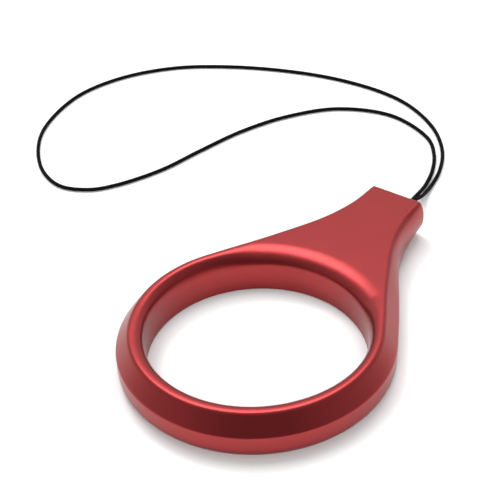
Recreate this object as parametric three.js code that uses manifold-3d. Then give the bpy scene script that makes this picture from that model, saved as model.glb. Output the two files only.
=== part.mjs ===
// A phone finger strap: a machined aluminium finger ring whose neck flares out and ends in a
// squared-off end, with one thin braided cord looped out of a blind bore in that end.
// Millimetres, +Z up, neck along +Y. It lies on its flat underside, as on a table.

import * as THREE from 'three';
import Module from 'manifold-3d';
import { mergeVertices } from 'three/addons/utils/BufferGeometryUtils.js';

const wasm = await Module();
wasm.setup();

// The ring
const ringDiameter = 36;
const holeDiameter = 28.6;
const thickness = 6;
const bevelHeight = 2.5;
const bevelInset = 1.8;
const crestRounding = 0.25;
const edgeLand = 0.1;
const rimRounding = 1.35;
const rimRoundingAtNeck = 3.2;
const lowerRimRounding = 0.3;
const lowerEdgeRounding = 1.6;

// The neck, measured from the ring's centre
const neckReach = 35;
const neckEndWidth = 9;
const neckCornerRadius = 0.9;
const neckEndTaper = THREE.MathUtils.degToRad(5.4);
const neckBevelInset = 0.75;
const neckBevelBulge = 0.7;
const neckCrestRounding = 0.4;
const neckUndersideRounding = 3.4;
const flareAngle = THREE.MathUtils.degToRad(61.4);
const flareFromRing = 18.5;
const flareFromEnd = 12;

// Where along the neck the bevel turns into a soft edge and the underside rounds off, and
// where round the hole its rim gets softer, as a share of the way towards the neck
const bevelFade = [14, 27];
const undersideFade = [22, 36];
const rimFade = [-0.6, 0.5];

// The cord and the way it is held
const cordDiameter = 0.6;
const strandSpacing = 0.8;
const strandSlant = THREE.MathUtils.degToRad(40);
const strandDepth = 5;
const clearance = 0.3;
const boreSlack = 0.4;
const boreHeight = 2.7;
const drillConeAngle = THREE.MathUtils.degToRad(31);
const sleeveLength = 3;
const sleeveThickness = 1.1;
const tableGap = 0.03;

// How finely the ring's arc, the flare, the corners and the rounded edges are divided
const arcSteps = 27;
const flareSteps = 14;
const cornerSteps = 3;
const undersideSteps = 5;
const bevelSteps = 4;
const crestSteps = 3;
const rimSteps = 6;
const lowerRimSteps = 2;
const boreSides = 24;
const sleeveEndSteps = 8;
const cordSides = 8;
const cordSteps = 80;
const weldTolerance = 1e-5;

const ringRadius = ringDiameter / 2;
const holeRadius = holeDiameter / 2;
const bevelFoot = thickness - bevelHeight;
const boreRadius = (strandSpacing + cordDiameter) / 2 + boreSlack;
const boreDepth = strandDepth + sleeveLength + 2 * clearance;

const { lerp, smoothstep } = THREE.MathUtils;

// Right half of the plan outline at its widest: ring arc, flare and end corner. Each station
// holds its place, its outward normal and whether it belongs to the squared-off end.
function halfOutline() {
  const corner = new THREE.Vector2(
    neckEndWidth / 2 - neckCornerRadius * Math.cos(neckEndTaper),
    neckReach - neckCornerRadius,
  );
  const cornerStart = new THREE.Vector2(
    corner.x + neckCornerRadius * Math.cos(neckEndTaper),
    corner.y + neckCornerRadius * Math.sin(neckEndTaper),
  );
  const flareStart = Math.PI / 2 - flareAngle;
  const ringExit = new THREE.Vector2(Math.cos(flareStart), Math.sin(flareStart)).multiplyScalar(ringRadius);
  const ringTangent = new THREE.Vector2(-Math.sin(flareStart), Math.cos(flareStart));
  const endTangent = new THREE.Vector2(-Math.sin(neckEndTaper), Math.cos(neckEndTaper));

  const ringArc = new THREE.EllipseCurve(0, 0, ringRadius, ringRadius, -Math.PI / 2, flareStart);
  const flare = new THREE.CubicBezierCurve(
    ringExit,
    ringExit.clone().addScaledVector(ringTangent, flareFromRing),
    cornerStart.clone().addScaledVector(endTangent, -flareFromEnd),
    cornerStart,
  );
  const cornerArc = new THREE.EllipseCurve(
    corner.x, corner.y, neckCornerRadius, neckCornerRadius, neckEndTaper, Math.PI / 2,
  );

  const stations = [];
  const addCurve = (curve, steps, first, atEnd) => {
    for (let i = first; i <= steps; i++) {
      const place = curve.getPoint(i / steps);
      const tangent = curve.getTangent(i / steps);
      stations.push({ place, normal: new THREE.Vector2(tangent.y, -tangent.x), atEnd });
    }
  };
  addCurve(ringArc, arcSteps, 0, false);
  addCurve(flare, flareSteps, 1, false);
  addCurve(cornerArc, cornerSteps, 1, true);
  return stations;
}

// The left half mirrors the right one. The station on the mirror line isn't repeated.
function fullOutline() {
  const right = halfOutline();
  const left = right.slice(1).reverse().map(({ place, normal, atEnd }) => ({
    place: new THREE.Vector2(-place.x, place.y),
    normal: new THREE.Vector2(-normal.x, normal.y),
    atEnd,
  }));
  return [...right, ...left];
}

// Foot of the rounded underside below a station. Along the sides it lies square to the
// outline; across the end it keeps the width that the sides end with.
function undersideFoot({ place, normal, atEnd }, rounding) {
  if (!atEnd) return place.clone().addScaledVector(normal, -rounding);
  const halfWidth = neckEndWidth / 2;
  const share = (halfWidth - rounding * Math.cos(neckEndTaper)) / halfWidth;
  return new THREE.Vector2(place.x * share, place.y - rounding * Math.sin(neckEndTaper));
}

// Section through the body at one station, as a closed loop of points: up the outside,
// over the crest, across the top to the finger hole, down its wall and back underneath. The
// rim's rounding is a quarter ellipse where the ring is too narrow for a round one.
function section(station) {
  const { place, normal } = station;
  const neckness = smoothstep(place.y, ...bevelFade);
  const inset = lerp(bevelInset, neckBevelInset, neckness);
  const crest = lerp(crestRounding, neckCrestRounding, neckness);
  const underside = Math.min(
    lerp(lowerEdgeRounding, neckUndersideRounding, smoothstep(place.y, ...undersideFade)),
    bevelFoot - edgeLand,
  );
  const foot = undersideFoot(station, underside);
  const points = [];

  for (let i = 0; i <= undersideSteps; i++) {
    const turn = (i / undersideSteps) * (Math.PI / 2);
    const flat = foot.clone().lerp(place, Math.sin(turn));
    points.push([flat.x, flat.y, underside * (1 - Math.cos(turn))]);
  }

  const bulge = neckBevelBulge * neckness;
  const bevelLength = Math.hypot(inset, bevelHeight);
  const share = 1 - crest / bevelLength;
  const bevelTop = new THREE.Vector2(inset * share, bevelFoot + bevelHeight * share);
  const bevelCurve = new THREE.QuadraticBezierCurve(
    new THREE.Vector2(0, bevelFoot),
    new THREE.Vector2(bevelTop.x * (1 - bulge) / 2, lerp(bevelFoot, bevelTop.y, (1 + bulge) / 2)),
    bevelTop,
  );
  const crestCurve = new THREE.QuadraticBezierCurve(
    bevelTop,
    new THREE.Vector2(inset, thickness),
    new THREE.Vector2(inset + crest, thickness),
  );
  const bevelPoints = bevelCurve.getPoints(bevelSteps).slice(0, -1);
  for (const { x, y } of [...bevelPoints, ...crestCurve.getPoints(crestSteps)]) {
    const flat = place.clone().addScaledVector(normal, -x);
    points.push([flat.x, flat.y, y]);
  }

  const crestPoint = place.clone().addScaledVector(normal, -inset);
  const outward = crestPoint.clone().normalize();
  const rimHeight = lerp(rimRounding, rimRoundingAtNeck, smoothstep(outward.y, ...rimFade));
  const rimWidth = Math.min(rimHeight, crestPoint.length() - holeRadius - crest - edgeLand);
  for (let i = 0; i <= rimSteps; i++) {
    const turn = (i / rimSteps) * (Math.PI / 2);
    const radius = holeRadius + rimWidth * (1 - Math.sin(turn));
    points.push([outward.x * radius, outward.y * radius, thickness - rimHeight * (1 - Math.cos(turn))]);
  }
  for (let i = 0; i <= lowerRimSteps; i++) {
    const turn = (i / lowerRimSteps) * (Math.PI / 2);
    const radius = holeRadius + lowerRimRounding * (1 - Math.cos(turn));
    points.push([outward.x * radius, outward.y * radius, lowerRimRounding * (1 - Math.sin(turn))]);
  }
  return points;
}

// Closed skin through the sections, joined station by station all the way round
function loftRound(sections) {
  const rows = sections.length;
  const columns = sections[0].length;
  const geometry = new THREE.BufferGeometry();
  geometry.setAttribute('position', new THREE.Float32BufferAttribute(sections.flat(2), 3));
  const index = [];
  for (let row = 0; row < rows; row++) {
    const next = (row + 1) % rows;
    for (let column = 0; column < columns; column++) {
      const beside = (column + 1) % columns;
      const a = row * columns + column;
      const b = next * columns + column;
      const c = next * columns + beside;
      const d = row * columns + beside;
      index.push(a, b, c, a, c, d);
    }
  }
  geometry.setIndex(index);
  return geometry;
}

// A drilled hole as a solid: a round shaft that runs out past the end face, with the
// shallow cone that a drill leaves at its bottom
function drill() {
  const overrun = 1;
  const coneDepth = boreRadius * Math.tan(drillConeAngle);
  const profile = [
    new THREE.Vector2(0, -boreDepth - coneDepth),
    new THREE.Vector2(boreRadius, -boreDepth),
    new THREE.Vector2(boreRadius, overrun),
    new THREE.Vector2(0, overrun),
  ];
  return new THREE.LatheGeometry(profile, boreSides).translate(0, neckReach, boreHeight);
}

function toSolid(geometry) {
  const bare = geometry.clone();
  bare.deleteAttribute('normal');
  bare.deleteAttribute('uv');
  const merged = mergeVertices(bare, weldTolerance);
  return new wasm.Manifold(new wasm.Mesh({
    numProp: 3,
    vertProperties: new Float32Array(merged.attributes.position.array),
    triVerts: new Uint32Array(merged.index.array),
  }));
}

function toGeometry(solid) {
  const { vertProperties, triVerts } = solid.getMesh();
  const geometry = new THREE.BufferGeometry();
  geometry.setAttribute('position', new THREE.Float32BufferAttribute(vertProperties, 3));
  geometry.setIndex([...triVerts]);
  geometry.computeVertexNormals();
  return geometry;
}

// Ring body: the loft round the outline, with the cord's blind bore drilled into its end
function ringBody() {
  const blank = toSolid(loftRound(fullOutline().map(section)));
  return toGeometry(blank.subtract(toSolid(drill())));
}

// Crimp sleeve: a short metal tube pressed flat on both cord ends, so its section is a
// slot shape. It sits behind the strands at the bottom of the bore.
function crimpSleeve() {
  const sleeveWidth = 2 * (boreRadius - clearance);
  const halfRun = (sleeveWidth - sleeveThickness) / 2;
  const end = sleeveThickness / 2;
  const outline = new THREE.Shape();
  outline.absarc(halfRun, 0, end, -Math.PI / 2, Math.PI / 2);
  outline.absarc(-halfRun, 0, end, Math.PI / 2, 1.5 * Math.PI);
  const sleeve = new THREE.ExtrudeGeometry(outline, {
    depth: sleeveLength,
    curveSegments: sleeveEndSteps,
    bevelEnabled: false,
  });
  const front = neckReach - strandDepth - clearance;
  return sleeve.rotateX(Math.PI / 2).translate(0, front, boreHeight);
}

// Route of the cord's centre, by hand, ring's centre as origin: out of the bore, down to the
// table, round the long loop to the left and back into the bore beside itself
const side = (strandSpacing / 2) * Math.cos(strandSlant);
const lift = (strandSpacing / 2) * Math.sin(strandSlant);
const lie = cordDiameter / 2 + tableGap;
const cordRoute = [
  [side, neckReach - strandDepth, boreHeight + lift],
  [side, neckReach, boreHeight + lift],
  [0.3, 37.5, 2.7],
  [0.28, 39.5, 2.1],
  [0.1, 41.4, 1.45],
  [-0.3, 43.3, 0.85],
  [-0.75, 45.6, 0.42],
  [-1.75, 50, lie],
  [-4.2, 55.3, lie],
  [-8.8, 60.5, lie],
  [-15.8, 64.6, lie],
  [-22.4, 66, lie],
  [-31.7, 65.5, lie],
  [-41, 63, lie],
  [-50.2, 58.8, lie],
  [-57.4, 53.7, lie],
  [-62.9, 46.3, lie],
  [-65.3, 37.7, lie],
  [-63.4, 27.6, lie],
  [-59.8, 21.7, lie],
  [-53.9, 16.7, lie],
  [-48.7, 15.2, lie],
  [-44.4, 16.9, lie],
  [-41.8, 19.9, lie],
  [-38.5, 27, lie],
  [-36.7, 34.9, lie],
  [-34.6, 43.1, lie],
  [-31.1, 50.7, lie],
  [-25.3, 57.4, lie],
  [-16.8, 60.3, lie],
  [-8.3, 57.6, lie],
  [-4.9, 53.9, lie],
  [-2.75, 49.6, lie],
  [-1.7, 46, 0.42],
  [-1.15, 43.6, 0.8],
  [-0.7, 41.4, 1.35],
  [-0.46, 39.5, 1.62],
  [-0.32, 37.5, 2.0],
  [-side, neckReach, boreHeight - lift],
  [-side, neckReach - strandDepth, boreHeight - lift],
];

function strapCord() {
  const points = cordRoute.map((point) => new THREE.Vector3(...point));
  const path = new THREE.CatmullRomCurve3(points, false, 'centripetal');
  const round = new THREE.Shape();
  round.absarc(0, 0, cordDiameter / 2, 0, 2 * Math.PI);
  return new THREE.ExtrudeGeometry(round, {
    steps: cordSteps,
    curveSegments: cordSides / 2,
    bevelEnabled: false,
    extrudePath: path,
  });
}

const anodisedRed = new THREE.MeshStandardMaterial({ color: 0xa3262d, roughness: 0.35, metalness: 0.9 });
const blackBraid = new THREE.MeshStandardMaterial({ color: 0x0b0b0c, roughness: 0.8, metalness: 0 });
const plainMetal = new THREE.MeshStandardMaterial({ color: 0xb9bbbd, roughness: 0.4, metalness: 1 });

function piece(name, geometry, material) {
  const mesh = new THREE.Mesh(geometry, material);
  mesh.name = name;
  return mesh;
}

// The origin is on the table, in the middle of the body's length and width
const strap = new THREE.Group();
strap.add(
  piece('ring_body', ringBody(), anodisedRed),
  piece('crimp_sleeve', crimpSleeve(), plainMetal),
  piece('strap_cord', strapCord(), blackBraid),
);
strap.position.y = (ringRadius - neckReach) / 2;

export default strap;
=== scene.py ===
import bpy
import numpy as np
from mathutils import Matrix, Vector


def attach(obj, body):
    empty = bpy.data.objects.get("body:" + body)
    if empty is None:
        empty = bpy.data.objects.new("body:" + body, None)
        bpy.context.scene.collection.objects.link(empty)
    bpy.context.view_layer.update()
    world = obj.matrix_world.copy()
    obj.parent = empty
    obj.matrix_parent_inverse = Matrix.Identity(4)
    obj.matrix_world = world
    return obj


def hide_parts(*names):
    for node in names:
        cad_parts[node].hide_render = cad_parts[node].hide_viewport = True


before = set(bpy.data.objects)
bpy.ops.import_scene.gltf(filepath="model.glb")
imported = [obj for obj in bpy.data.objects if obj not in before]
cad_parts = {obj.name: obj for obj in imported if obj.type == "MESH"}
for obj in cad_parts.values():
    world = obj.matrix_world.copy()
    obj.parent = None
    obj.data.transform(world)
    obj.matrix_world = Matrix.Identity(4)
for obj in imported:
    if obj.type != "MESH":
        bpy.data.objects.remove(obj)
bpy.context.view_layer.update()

# The view: the strap lies on a table and is seen from the front right, 37 degrees above the
# table, through a long lens. Directions are in the object's own frame.
eye = (0.077683, -0.107537, 0.112240)
sideways = Vector((0.8049969, 0.5916725, -0.0436307))
upwards = Vector((-0.3281127, 0.5052688, 0.7981513))


def standing_at(spot, across, up):
    """Place and turn of a camera or a lamp: at spot, its X axis along across, its Y axis along
    up and its Z axis square to both, pointing back from what it faces."""
    return Matrix.Translation(spot) @ Matrix((across, up, across.cross(up))).transposed().to_4x4()


lens = bpy.data.cameras.new("camera")
lens.sensor_width = 36
lens.lens = 93.6
lens.clip_start = 0.01
camera = bpy.data.objects.new("camera", lens)
camera.matrix_world = standing_at(eye, sideways, upwards)
bpy.context.scene.collection.objects.link(camera)
bpy.context.scene.camera = camera

# The cord: one thin black cord, braided from eight yarns, bent into a loop. Both of its ends
# go 5 mm deep into the bore in the neck's end. It drops to the table and lies on it.
cord_diameter = 0.0006
cord_stations = 2900
cord_sides = 24
neck_end = 0.0265

# The route is in millimetres, and lie is how high the cord's middle is where it lies flat
lie = 0.33
cord_route = 0.001 * np.array(
    [
        [0.306, 21.5, 2.957],
        [0.306, 26.5, 2.957],
        [0.3, 29, 2.7],
        [0.28, 31, 2.1],
        [0.1, 32.9, 1.45],
        [-0.3, 34.8, 0.85],
        [-0.75, 37.1, 0.42],
        [-1.75, 41.5, lie],
        [-4.2, 46.8, lie],
        [-8.8, 52, lie],
        [-15.8, 56.1, lie],
        [-22.4, 57.5, lie],
        [-31.7, 57, lie],
        [-41, 54.5, lie],
        [-50.2, 50.3, lie],
        [-57.4, 45.2, lie],
        [-62.9, 37.8, lie],
        [-65.3, 29.2, lie],
        [-63.4, 19.1, lie],
        [-59.8, 13.2, lie],
        [-53.9, 8.2, lie],
        [-48.7, 6.7, lie],
        [-44.4, 8.4, lie],
        [-41.8, 11.4, lie],
        [-38.5, 18.5, lie],
        [-36.7, 26.4, lie],
        [-34.6, 34.6, lie],
        [-31.1, 42.2, lie],
        [-25.3, 48.9, lie],
        [-16.8, 51.8, lie],
        [-8.3, 49.1, lie],
        [-4.9, 45.4, lie],
        [-2.75, 41.1, lie],
        [-1.7, 37.5, 0.42],
        [-1.15, 35.1, 0.8],
        [-0.7, 32.9, 1.35],
        [-0.46, 31, 1.62],
        [-0.32, 29, 2.0],
        [-0.306, 26.5, 2.443],
        [-0.306, 21.5, 2.443],
    ]
)


def line_through(points, stations):
    """Smooth line through given points: each span is a cubic whose end slopes come from
    neighbouring points, with knots spaced by the square root of the distances between
    them. The line is then cut into stations at equal distances along it."""
    ends = 2 * points[[0, -1]] - points[[1, -2]]
    p = np.vstack([ends[:1], points, ends[1:]])
    gap = np.sqrt(np.linalg.norm(np.diff(p, axis=0), axis=1))[:, None]
    before, here, after = gap[:-2], gap[1:-1], gap[2:]
    p0, p1, p2, p3 = p[:-3], p[1:-2], p[2:-1], p[3:]
    slope1 = here * ((p1 - p0) / before - (p2 - p0) / (before + here) + (p2 - p1) / here)
    slope2 = here * ((p2 - p1) / here - (p3 - p1) / (here + after) + (p3 - p2) / after)
    steps = 60
    t = np.linspace(0, 1, steps, endpoint=False)[None, :, None]
    p1, p2, slope1, slope2 = (a[:, None, :] for a in (p1, p2, slope1, slope2))
    fine = (
        p1
        + slope1 * t
        + (3 * (p2 - p1) - 2 * slope1 - slope2) * t**2
        + (2 * (p1 - p2) + slope1 + slope2) * t**3
    )
    fine = np.vstack([fine.reshape(-1, 3), points[-1:]])
    run = np.concatenate([[0], np.cumsum(np.linalg.norm(np.diff(fine, axis=0), axis=1))])
    even = np.linspace(0, run[-1], stations)
    return np.stack([np.interp(even, run, fine[:, k]) for k in range(3)], axis=1), even


def braid_relief(turn, run, diameter):
    """Height of a round braid's surface, from 0 to 1, at an angle round it and a distance along
    it. Four yarns wind each way. A yarn's section is an ellipse, it rises where it passes over
    a yarn of the other hand and sinks where it passes under, and the higher yarn shows."""
    yarns = 4
    lay_in_diameters = 3.4
    yarn_half_width = 1.12 * np.pi
    rise = 0.22
    winding = run / (lay_in_diameters * diameter) * 2 * np.pi
    right = yarns * (turn - winding)
    left = yarns * (turn + winding)

    def yarn(across, along, start):
        number = np.round(across / (2 * np.pi))
        profile = np.sqrt(np.clip(1 - ((across - 2 * np.pi * number) / yarn_half_width) ** 2, 0, 1))
        return profile * (1 - rise + rise * np.cos(np.pi * number + along / 2 + start))

    return np.maximum(yarn(right, left, 0), yarn(left, right, np.pi))


def mesh_piece(name, points, faces):
    """Object named name with its vertices and faces, smooth, at the origin."""
    mesh = bpy.data.meshes.new(name)
    mesh.from_pydata(points.tolist(), [], faces)
    mesh.shade_smooth()
    piece = bpy.data.objects.new(name, mesh)
    bpy.context.scene.collection.objects.link(piece)
    return piece


def tube_faces(stations, sides):
    """Quads between neighbouring rings of points, closed round each ring, and a cap at each end."""
    row = np.arange(stations - 1)[:, None] * sides
    side = np.arange(sides)[None, :]
    beside = (side + 1) % sides
    quads = np.stack([row + side, row + beside, row + sides + beside, row + sides + side], axis=-1)
    first = list(range(sides))[::-1]
    last = list(range((stations - 1) * sides, stations * sides))
    return quads.reshape(-1, 4).tolist() + [first, last]


cord_line, cord_run = line_through(cord_route, cord_stations)
along = np.gradient(cord_line, axis=0)
along /= np.linalg.norm(along, axis=1, keepdims=True)
beside = np.cross((0, 0, 1), along)
beside /= np.linalg.norm(beside, axis=1, keepdims=True)
above = np.cross(along, beside)
turn = np.linspace(0, 2 * np.pi, cord_sides, endpoint=False)
relief = braid_relief(turn[None, :], cord_run[:, None], cord_diameter)
relief_depth = 0.2
radius = 0.5 * cord_diameter * (1 - relief_depth + relief_depth * relief)[..., None]
cord_skin = cord_line[:, None] + radius * (
    np.cos(turn)[None, :, None] * beside[:, None] + np.sin(turn)[None, :, None] * above[:, None]
)
cord = mesh_piece("strap_cord_braid", cord_skin.reshape(-1, 3), tube_faces(cord_stations, cord_sides))

around_and_along = cord.data.attributes.new("braid", "FLOAT_VECTOR", "POINT")
braid_place = np.zeros((cord_stations, cord_sides, 3), np.float32)
braid_place[..., 0] = np.cos(turn)[None, :]
braid_place[..., 1] = np.sin(turn)[None, :]
braid_place[..., 2] = cord_run[:, None] / (0.5 * cord_diameter)
around_and_along.data.foreach_set("vector", braid_place.ravel())
yarn_height = cord.data.attributes.new("yarn_height", "FLOAT", "POINT")
yarn_height.data.foreach_set("value", relief.astype(np.float32).ravel())


def new_material(name):
    """Empty node material, a function that joins two sockets, the material's shader, and a
    function that adds a node."""
    material = bpy.data.materials.new(name)
    material.use_nodes = True
    tree = material.node_tree

    def add(kind, **settings):
        node = tree.nodes.new(kind)
        for key, value in settings.items():
            setattr(node, key, value)
        return node

    return material, tree.links.new, tree.nodes["Principled BSDF"], add


def set_values(node, values):
    """Give a node's inputs the values that go with their names."""
    for name, value in values.items():
        node.inputs[name].default_value = value


def set_ends(ramp, *ends):
    """Give the two ends of a colour ramp their positions and colours."""
    for element, (position, colour) in zip(ramp.color_ramp.elements, ends):
        element.position = position
        element.color = (*colour, 1)


def grain_group():
    """Node group for a fine grain. Noise of a scale and a detail is put out as a mask, and as
    the normal of a surface that the noise raises by a depth, at a strength."""
    group = bpy.data.node_groups.new("fine_grain", "ShaderNodeTree")
    group.interface.new_socket("Place", in_out="INPUT", socket_type="NodeSocketVector")
    for name in ("Scale", "Detail", "Strength", "Depth"):
        group.interface.new_socket(name, in_out="INPUT", socket_type="NodeSocketFloat")
    group.interface.new_socket("Mask", in_out="OUTPUT", socket_type="NodeSocketFloat")
    group.interface.new_socket("Normal", in_out="OUTPUT", socket_type="NodeSocketVector")
    given = group.nodes.new("NodeGroupInput")
    result = group.nodes.new("NodeGroupOutput")
    noise = group.nodes.new("ShaderNodeTexNoise")
    raised = group.nodes.new("ShaderNodeBump")
    group.links.new(given.outputs["Place"], noise.inputs["Vector"])
    group.links.new(given.outputs["Scale"], noise.inputs["Scale"])
    group.links.new(given.outputs["Detail"], noise.inputs["Detail"])
    group.links.new(given.outputs["Strength"], raised.inputs["Strength"])
    group.links.new(given.outputs["Depth"], raised.inputs["Distance"])
    group.links.new(noise.outputs["Fac"], raised.inputs["Height"])
    group.links.new(noise.outputs["Fac"], result.inputs["Mask"])
    group.links.new(raised.outputs["Normal"], result.inputs["Normal"])
    return group


fine_grain = grain_group()

black_braid, join, shader, add = new_material("black_braid")
set_values(
    shader,
    {"Roughness": 0.75, "Specular IOR Level": 0.07, "Sheen Weight": 0.01, "Sheen Roughness": 0.4},
)
# Painted shade: the cord's base colour is darker where the yarns lie low, in the hollows between
# them, and less dark on the yarns' tops.
height = add("ShaderNodeAttribute", attribute_name="yarn_height")
painted_hollow_shade = add("ShaderNodeValToRGB")
set_ends(painted_hollow_shade, (0.3, (0.0004, 0.0004, 0.0005)), (0.95, (0.003, 0.003, 0.0033)))
join(height.outputs["Fac"], painted_hollow_shade.inputs["Fac"])
join(painted_hollow_shade.outputs["Color"], shader.inputs["Base Color"])
place = add("ShaderNodeAttribute", attribute_name="braid")
filaments = add("ShaderNodeGroup", node_tree=fine_grain)
set_values(filaments, {"Scale": 6, "Detail": 4, "Strength": 0.5, "Depth": 0.00002})
join(place.outputs["Vector"], filaments.inputs["Place"])
join(filaments.outputs["Normal"], shader.inputs["Normal"])
cord.data.materials.append(black_braid)

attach(cord, "root")
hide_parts("strap_cord")

# The ring body: one piece of aluminium, machined, fine blasted and anodised red. The ring's
# wall, bevel and flat top run on into a neck that flares out of the ring; along it the bevel
# fades and the underside rounds off. A blind bore in its end holds the cord.
ring_centre = -0.0085
ring_radius = 0.018
hole_radius = 0.0143
thickness = 0.006
bevel_height = 0.0025
bevel_foot = thickness - bevel_height
bevel_inset = 0.0018
foot_rounding = 0.00018
crest_rounding = 0.0004
edge_land = 0.0001
rim_rounding = 0.00135
rim_width_near_neck = 0.0029
rim_height_beside_neck = 0.003
rim_height_at_neck = 0.002
lower_rim_rounding = 0.0003
underside_rounding = 0.0016

# The neck, measured from the ring's centre
neck_reach = 0.035
neck_half_width = 0.0045
neck_corner = 0.0009
neck_taper = np.radians(5.4)
neck_edge_width = 0.00125
neck_crest_inset = 0.00075
neck_underside_rounding = 0.0034
flare_angle = np.radians(61.4)
flare_from_ring = 0.0185
flare_from_end = 0.012

# Where along the neck the bevel turns into a soft edge, the underside rounds off and the soft
# edge narrows to fit inside the end's corners, and where the hole's rim changes, by the cosine
# of the angle to the neck: it gets wider and higher first, and then lower again.
bevel_fade = (0.014, 0.027)
underside_fade = (0.022, 0.036)
corner_fade = (0.03, neck_reach - neck_corner)
corner_share = 0.94
rim_softens = (-0.6, 0.35)
rim_firms = (0.3, 1)

# How finely the outline and its sections are divided
arc_stations = 130
flare_stations = 90
corner_stations = 12
end_stations = 11
underside_points = 11
foot_points = 5
bevel_points = 10
crest_points = 9
rim_points = 21
lower_rim_points = 6


def smooth_step(x, low, high):
    """0 below low, 1 above high, and an S-shaped cubic between them."""
    t = np.clip((x - low) / (high - low), 0, 1)
    return t * t * (3 - 2 * t)


def between(first, last, share):
    """What lies between first, at share 0, and last, at share 1."""
    return first + (last - first) * share


def body_outline():
    """Widest outline of the body seen from above, ring's centre as origin: the ring's arc, a
    cubic flare that leaves it on its tangent and meets the neck's end on its taper, a round
    corner and half of the straight end. The left half mirrors the right half. Each station has
    its place, its outward direction and whether it is on the squared-off end."""
    start = np.pi / 2 - flare_angle
    arc = np.linspace(-np.pi / 2, start, arc_stations)
    outward = np.stack([np.cos(arc), np.sin(arc)], axis=1)
    place = [ring_radius * outward]
    normal = [outward]

    corner = np.array([neck_half_width - neck_corner * np.cos(neck_taper), neck_reach - neck_corner])
    tip = corner + neck_corner * np.array([np.cos(neck_taper), np.sin(neck_taper)])
    leave = ring_radius * np.array([np.cos(start), np.sin(start)])
    pulls = np.array(
        [
            leave,
            leave + flare_from_ring * np.array([-np.sin(start), np.cos(start)]),
            tip - flare_from_end * np.array([-np.sin(neck_taper), np.cos(neck_taper)]),
            tip,
        ]
    )
    t = np.linspace(0, 1, flare_stations + 1)[1:, None]
    weights = np.hstack([(1 - t) ** 3, 3 * t * (1 - t) ** 2, 3 * t**2 * (1 - t), t**3])
    slopes = np.hstack([(1 - t) ** 2, 2 * t * (1 - t), t**2]) @ np.diff(pulls, axis=0)
    slopes /= np.linalg.norm(slopes, axis=1, keepdims=True)
    place.append(weights @ pulls)
    normal.append(np.stack([slopes[:, 1], -slopes[:, 0]], axis=1))

    bend = np.linspace(neck_taper, np.pi / 2, corner_stations + 1)[1:]
    outward = np.stack([np.cos(bend), np.sin(bend)], axis=1)
    place.append(corner + neck_corner * outward)
    normal.append(outward)

    x = np.linspace(corner[0], 0, end_stations + 1)[1:]
    place.append(np.stack([x, np.full_like(x, neck_reach)], axis=1))
    normal.append(np.tile([0.0, 1.0], (len(x), 1)))

    on_end = np.repeat([False, True], [arc_stations + flare_stations, corner_stations + end_stations])
    place, normal = np.vstack(place), np.vstack(normal)
    mirror = slice(-2, 0, -1)
    return (
        np.vstack([place, place[mirror] * (-1, 1)]),
        np.vstack([normal, normal[mirror] * (-1, 1)]),
        np.concatenate([on_end, on_end[mirror]]),
    )


def parabola(first, middle, last, points):
    """Points on the parabola from first to last that heads for middle at both of its ends."""
    t = np.linspace(0, 1, points)[:, None]
    return (1 - t) ** 2 * first + 2 * t * (1 - t) * middle + t**2 * last


def top_edges():
    """Outer top edge of the ring and of the neck, as distances in from the outline and heights:
    on the ring a straight bevel with its foot and its crest eased, on the neck a quarter of an
    ellipse."""
    foot = np.array([0, bevel_foot])
    crest = np.array([bevel_inset, thickness])
    slope = (crest - foot) / np.linalg.norm(crest - foot)
    foot_edge = parabola(foot - (0, foot_rounding), foot, foot + foot_rounding * slope, foot_points)
    crest_end = crest + (crest_rounding, 0)
    crest_edge = parabola(crest - crest_rounding * slope, crest, crest_end, crest_points)
    bevel = np.linspace(foot_edge[-1], crest_edge[0], bevel_points + 2)[1:-1]
    ring_edge = np.vstack([foot_edge, bevel, crest_edge])

    turn = np.linspace(0, np.pi / 2, len(ring_edge))
    neck_foot = bevel_foot - foot_rounding
    neck_height = neck_foot + (thickness - neck_foot) * np.sin(turn)
    return ring_edge, np.stack([neck_edge_width * (1 - np.cos(turn)), neck_height], axis=1)


def raised(flat, height):
    """Points of every section from their places in plan and their heights."""
    height = np.broadcast_to(height, flat.shape[:2])
    return np.concatenate([flat, height[..., None]], axis=-1)


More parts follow.
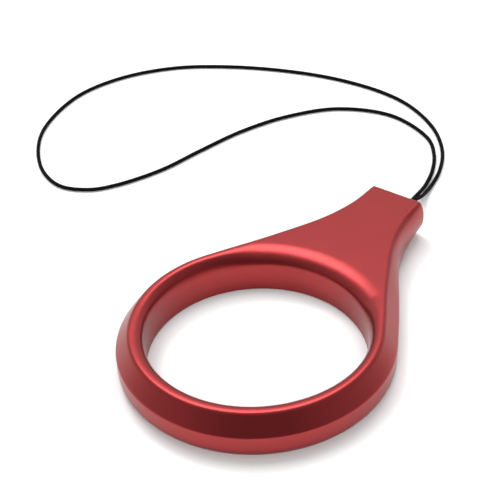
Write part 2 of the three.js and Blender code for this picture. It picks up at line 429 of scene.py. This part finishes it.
def body_sections(place, normal, on_end):
    """Section at every station of the outline, as one array of stations by points: up round the
    underside, up the wall, over the outer top edge, across the flat top, round the finger hole's
    rim, down the hole's wall and back underneath. The roundings are quarter ellipses, and the
    top edge changes from the ring's to the neck's along the flare."""
    y = place[:, 1]
    underside = between(underside_rounding, neck_underside_rounding, smooth_step(y, *underside_fade))
    underside = np.minimum(underside, bevel_foot - foot_rounding - edge_land)[:, None]
    narrowing = (neck_half_width - underside * np.cos(neck_taper)) / neck_half_width
    side_foot = place - normal * underside
    end_foot = np.hstack([place[:, :1] * narrowing, y[:, None] - underside * np.sin(neck_taper)])
    foot = np.where(on_end[:, None], end_foot, side_foot)[:, None]
    turn = np.linspace(0, np.pi / 2, underside_points)[None]
    flat = foot + (place[:, None] - foot) * np.sin(turn)[..., None]
    under = raised(flat, underside * (1 - np.cos(turn)))

    neckness = smooth_step(y, *bevel_fade)[:, None]
    edge = between(*top_edges(), neckness[..., None])
    narrower = between(1, corner_share * neck_corner / neck_edge_width, smooth_step(y, *corner_fade))
    inwards = edge[..., 0] * narrower[:, None]
    top_edge = raised(place[:, None] - normal[:, None] * inwards[..., None], edge[..., 1])

    crest_place = place - normal * between(bevel_inset, neck_crest_inset, neckness)
    reach = np.linalg.norm(crest_place, axis=1, keepdims=True)
    outward = crest_place / reach
    nearness = outward[:, 1:]
    softness = smooth_step(nearness, *rim_softens)
    rim_width = between(rim_rounding, rim_width_near_neck, softness)
    rim_width = np.minimum(rim_width, reach - hole_radius - crest_rounding - edge_land)
    rim_height = between(rim_rounding, rim_height_beside_neck, softness)
    rim_height = between(rim_height, rim_height_at_neck, smooth_step(nearness, *rim_firms))
    turn = np.linspace(0, np.pi / 2, rim_points)[None]
    rim_radius = hole_radius + rim_width * (1 - np.sin(turn))
    rim = raised(
        outward[:, None] * rim_radius[..., None], thickness - rim_height * (1 - np.cos(turn))
    )

    turn = np.linspace(0, np.pi / 2, lower_rim_points)[None]
    rim_radius = hole_radius + lower_rim_rounding * (1 - np.cos(turn))
    lower_rim = raised(
        outward[:, None] * rim_radius[..., None], lower_rim_rounding * (1 - np.sin(turn))
    )
    return np.concatenate([under, top_edge, rim, lower_rim], axis=1)


def ring_of_faces(stations, points):
    """Quads between neighbouring sections, closed both round the outline and round a section."""
    station = np.arange(stations)[:, None]
    point = np.arange(points)[None]
    after = (station + 1) % stations
    beside = (point + 1) % points
    quads = [
        station * points + point,
        after * points + point,
        after * points + beside,
        station * points + beside,
    ]
    return np.stack(quads, axis=-1).reshape(-1, 4).tolist()


sections = body_sections(*body_outline())
body_skin = sections.reshape(-1, 3) + (0, ring_centre, 0)
body = mesh_piece("ring_body_anodised", body_skin, ring_of_faces(*sections.shape[:2]))

# The blind bore, as the space that a drill takes out: its cone, cut short at a small flat tip,
# its shaft and a small chamfer at the mouth
bore_height = 0.0027
bore_radius = 0.0011
bore_depth = 0.0086
bore_sides = 64
cone_slope = np.radians(31)
cone_share = 0.82
cone_depth = cone_share * bore_radius * np.tan(cone_slope)
cone_tip_radius = 0.0002
mouth_chamfer = 0.00015
overrun = 0.001
drill_profile = np.array(
    [
        [cone_tip_radius, -bore_depth - cone_depth],
        [bore_radius, -bore_depth],
        [bore_radius, -mouth_chamfer],
        [bore_radius + mouth_chamfer, 0],
        [bore_radius + mouth_chamfer + overrun, overrun],
    ]
)
turn = (np.linspace(0, 2 * np.pi, bore_sides, endpoint=False) + np.pi / bore_sides)[None]
drill_radius, drill_reach = drill_profile[:, :1], drill_profile[:, 1:]
drill_skin = np.stack(
    np.broadcast_arrays(
        drill_radius * np.cos(turn),
        neck_end + drill_reach,
        bore_height + drill_radius * np.sin(turn),
    ),
    axis=-1,
)
drill = mesh_piece("drill", drill_skin.reshape(-1, 3), tube_faces(len(drill_profile), bore_sides))
drill.data.flip_normals()

cut = body.modifiers.new("bore", "BOOLEAN")
cut.operation = "DIFFERENCE"
cut.object = drill
cut.solver = "EXACT"
bored = bpy.data.meshes.new_from_object(body.evaluated_get(bpy.context.evaluated_depsgraph_get()))
body.modifiers.remove(cut)
body.data = bored
bpy.data.objects.remove(drill)

sharpest_smooth_angle = np.radians(32)
bored.shade_smooth()
bored.set_sharp_from_angle(angle=sharpest_smooth_angle)
flat_faces = body.modifiers.new("flat faces", "WEIGHTED_NORMAL")
flat_faces.keep_sharp = True

anodised_red, join, shader, add = new_material("anodised_red")
set_values(
    shader,
    {
        "Metallic": 1,
        "Roughness": 0.35,
        "Specular Tint": (0.5, 0.3, 0.3, 1),
        "Coat Weight": 0.9,
        "Coat Roughness": 0.32,
        "Coat IOR": 1.5,
    },
)
place = add("ShaderNodeTexCoord")
cloud = add("ShaderNodeGroup", node_tree=fine_grain)
set_values(cloud, {"Scale": 180, "Detail": 3})
join(place.outputs["Object"], cloud.inputs["Place"])
dye = add("ShaderNodeValToRGB")
set_ends(dye, (0.3, (0.315, 0.004, 0.006)), (0.7, (0.345, 0.006, 0.008)))
join(cloud.outputs["Mask"], dye.inputs["Fac"])
join(dye.outputs["Color"], shader.inputs["Base Color"])
blast = add("ShaderNodeGroup", node_tree=fine_grain)
set_values(blast, {"Scale": 9000, "Detail": 2, "Strength": 0.2, "Depth": 0.00001})
join(place.outputs["Object"], blast.inputs["Place"])
join(blast.outputs["Normal"], shader.inputs["Normal"])
bored.materials.clear()
bored.materials.append(anodised_red)

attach(body, "root")
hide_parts("ring_body")

# The crimp sleeve: a short aluminium tube pressed flat on both cord ends, bonded at the
# bottom of the bore. Only a look down the bore shows it.
sleeve_metal, join, shader, add = new_material("sleeve_metal")
set_values(shader, {"Base Color": (0.72, 0.73, 0.74, 1), "Metallic": 1})
place = add("ShaderNodeTexCoord")
scratch = add("ShaderNodeGroup", node_tree=fine_grain)
set_values(scratch, {"Scale": 4000, "Detail": 2})
join(place.outputs["Object"], scratch.inputs["Place"])
dull = add("ShaderNodeMapRange")
set_values(dull, {"To Min": 0.3, "To Max": 0.55})
join(scratch.outputs["Mask"], dull.inputs["Value"])
join(dull.outputs["Result"], shader.inputs["Roughness"])
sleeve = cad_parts["crimp_sleeve"]
sleeve.data.materials.clear()
sleeve.data.materials.append(sleeve_metal)

# The studio: a white table under a soft light overhead, which shows in the metal, and two
# lights that don't. The room is pale behind the strap and dark on the camera's side, which
# darkens the bevel.
table_reach = 3
table_corners = [(-table_reach, -table_reach, 0), (table_reach, -table_reach, 0)]
table_corners += [(table_reach, table_reach, 0), (-table_reach, table_reach, 0)]
table_mesh = bpy.data.meshes.new("table")
table_mesh.from_pydata(table_corners, [], [(0, 1, 2, 3)])
table = bpy.data.objects.new("table", table_mesh)
bpy.context.scene.collection.objects.link(table)
white_table, join, shader, add = new_material("white_table")
set_values(
    shader, {"Base Color": (0.83, 0.83, 0.83, 1), "Roughness": 0.9, "Specular IOR Level": 0.1}
)
table_mesh.materials.append(white_table)


def soft_light(name, spot, size, brightness, in_metal=True):
    """Rectangular area light at spot that faces the object, its long side level in the view. Its
    power is its brightness times its area times pi, so that brightness compares with a white
    table of brightness 1. in_metal says whether it shows in the metal."""
    glow = bpy.data.lights.new(name, "AREA")
    glow.shape = "RECTANGLE"
    glow.size, glow.size_y = size
    glow.energy = brightness * np.pi * size[0] * size[1]
    lamp = bpy.data.objects.new(name, glow)
    back = Vector(spot).normalized()
    across = (sideways - back * sideways.dot(back)).normalized()
    lamp.matrix_world = standing_at(spot, across, back.cross(across))
    lamp.visible_glossy = in_metal
    bpy.context.scene.collection.objects.link(lamp)


soft_light("overhead", (-0.15, 0.125, 0.5), (0.48, 0.33), 4.6)
soft_light("key", (-0.36, 0.2, 0.55), (0.14, 0.14), 16, in_metal=False)
soft_light("fill", (0.25, -0.3, 0.22), (0.4, 0.25), 4.5, in_metal=False)

# The room's grey by direction, from 0 straight behind the strap to 1 on the camera's side
towards_camera = (0.618, -0.786, 0)
room_ends = (0.05, (0.72, 0.72, 0.72)), (0.92, (0.2, 0.2, 0.2))
room_greys = ((0.1, 0.9), (0.2, 0.8), (0.35, 0.6), (0.5, 0.5), (0.77, 0.4))
room = bpy.data.worlds.new("studio")
room.use_nodes = True
nodes = room.node_tree.nodes
join = room.node_tree.links.new
place = nodes.new("ShaderNodeTexCoord")
frontness = nodes.new("ShaderNodeVectorMath")
frontness.operation = "DOT_PRODUCT"
frontness.inputs[1].default_value = towards_camera
spread = nodes.new("ShaderNodeMapRange")
spread.inputs["From Min"].default_value = -1
tent = nodes.new("ShaderNodeValToRGB")
set_ends(tent, *room_ends)
for position, grey in room_greys:
    tent.color_ramp.elements.new(position).color = (grey, grey, grey, 1)
join(place.outputs["Generated"], frontness.inputs[0])
join(frontness.outputs["Value"], spread.inputs["Value"])
join(spread.outputs["Result"], tent.inputs["Fac"])
join(tent.outputs["Color"], nodes["Background"].inputs["Color"])
bpy.context.scene.world = room
bpy.context.scene.view_settings.view_transform = "Standard"
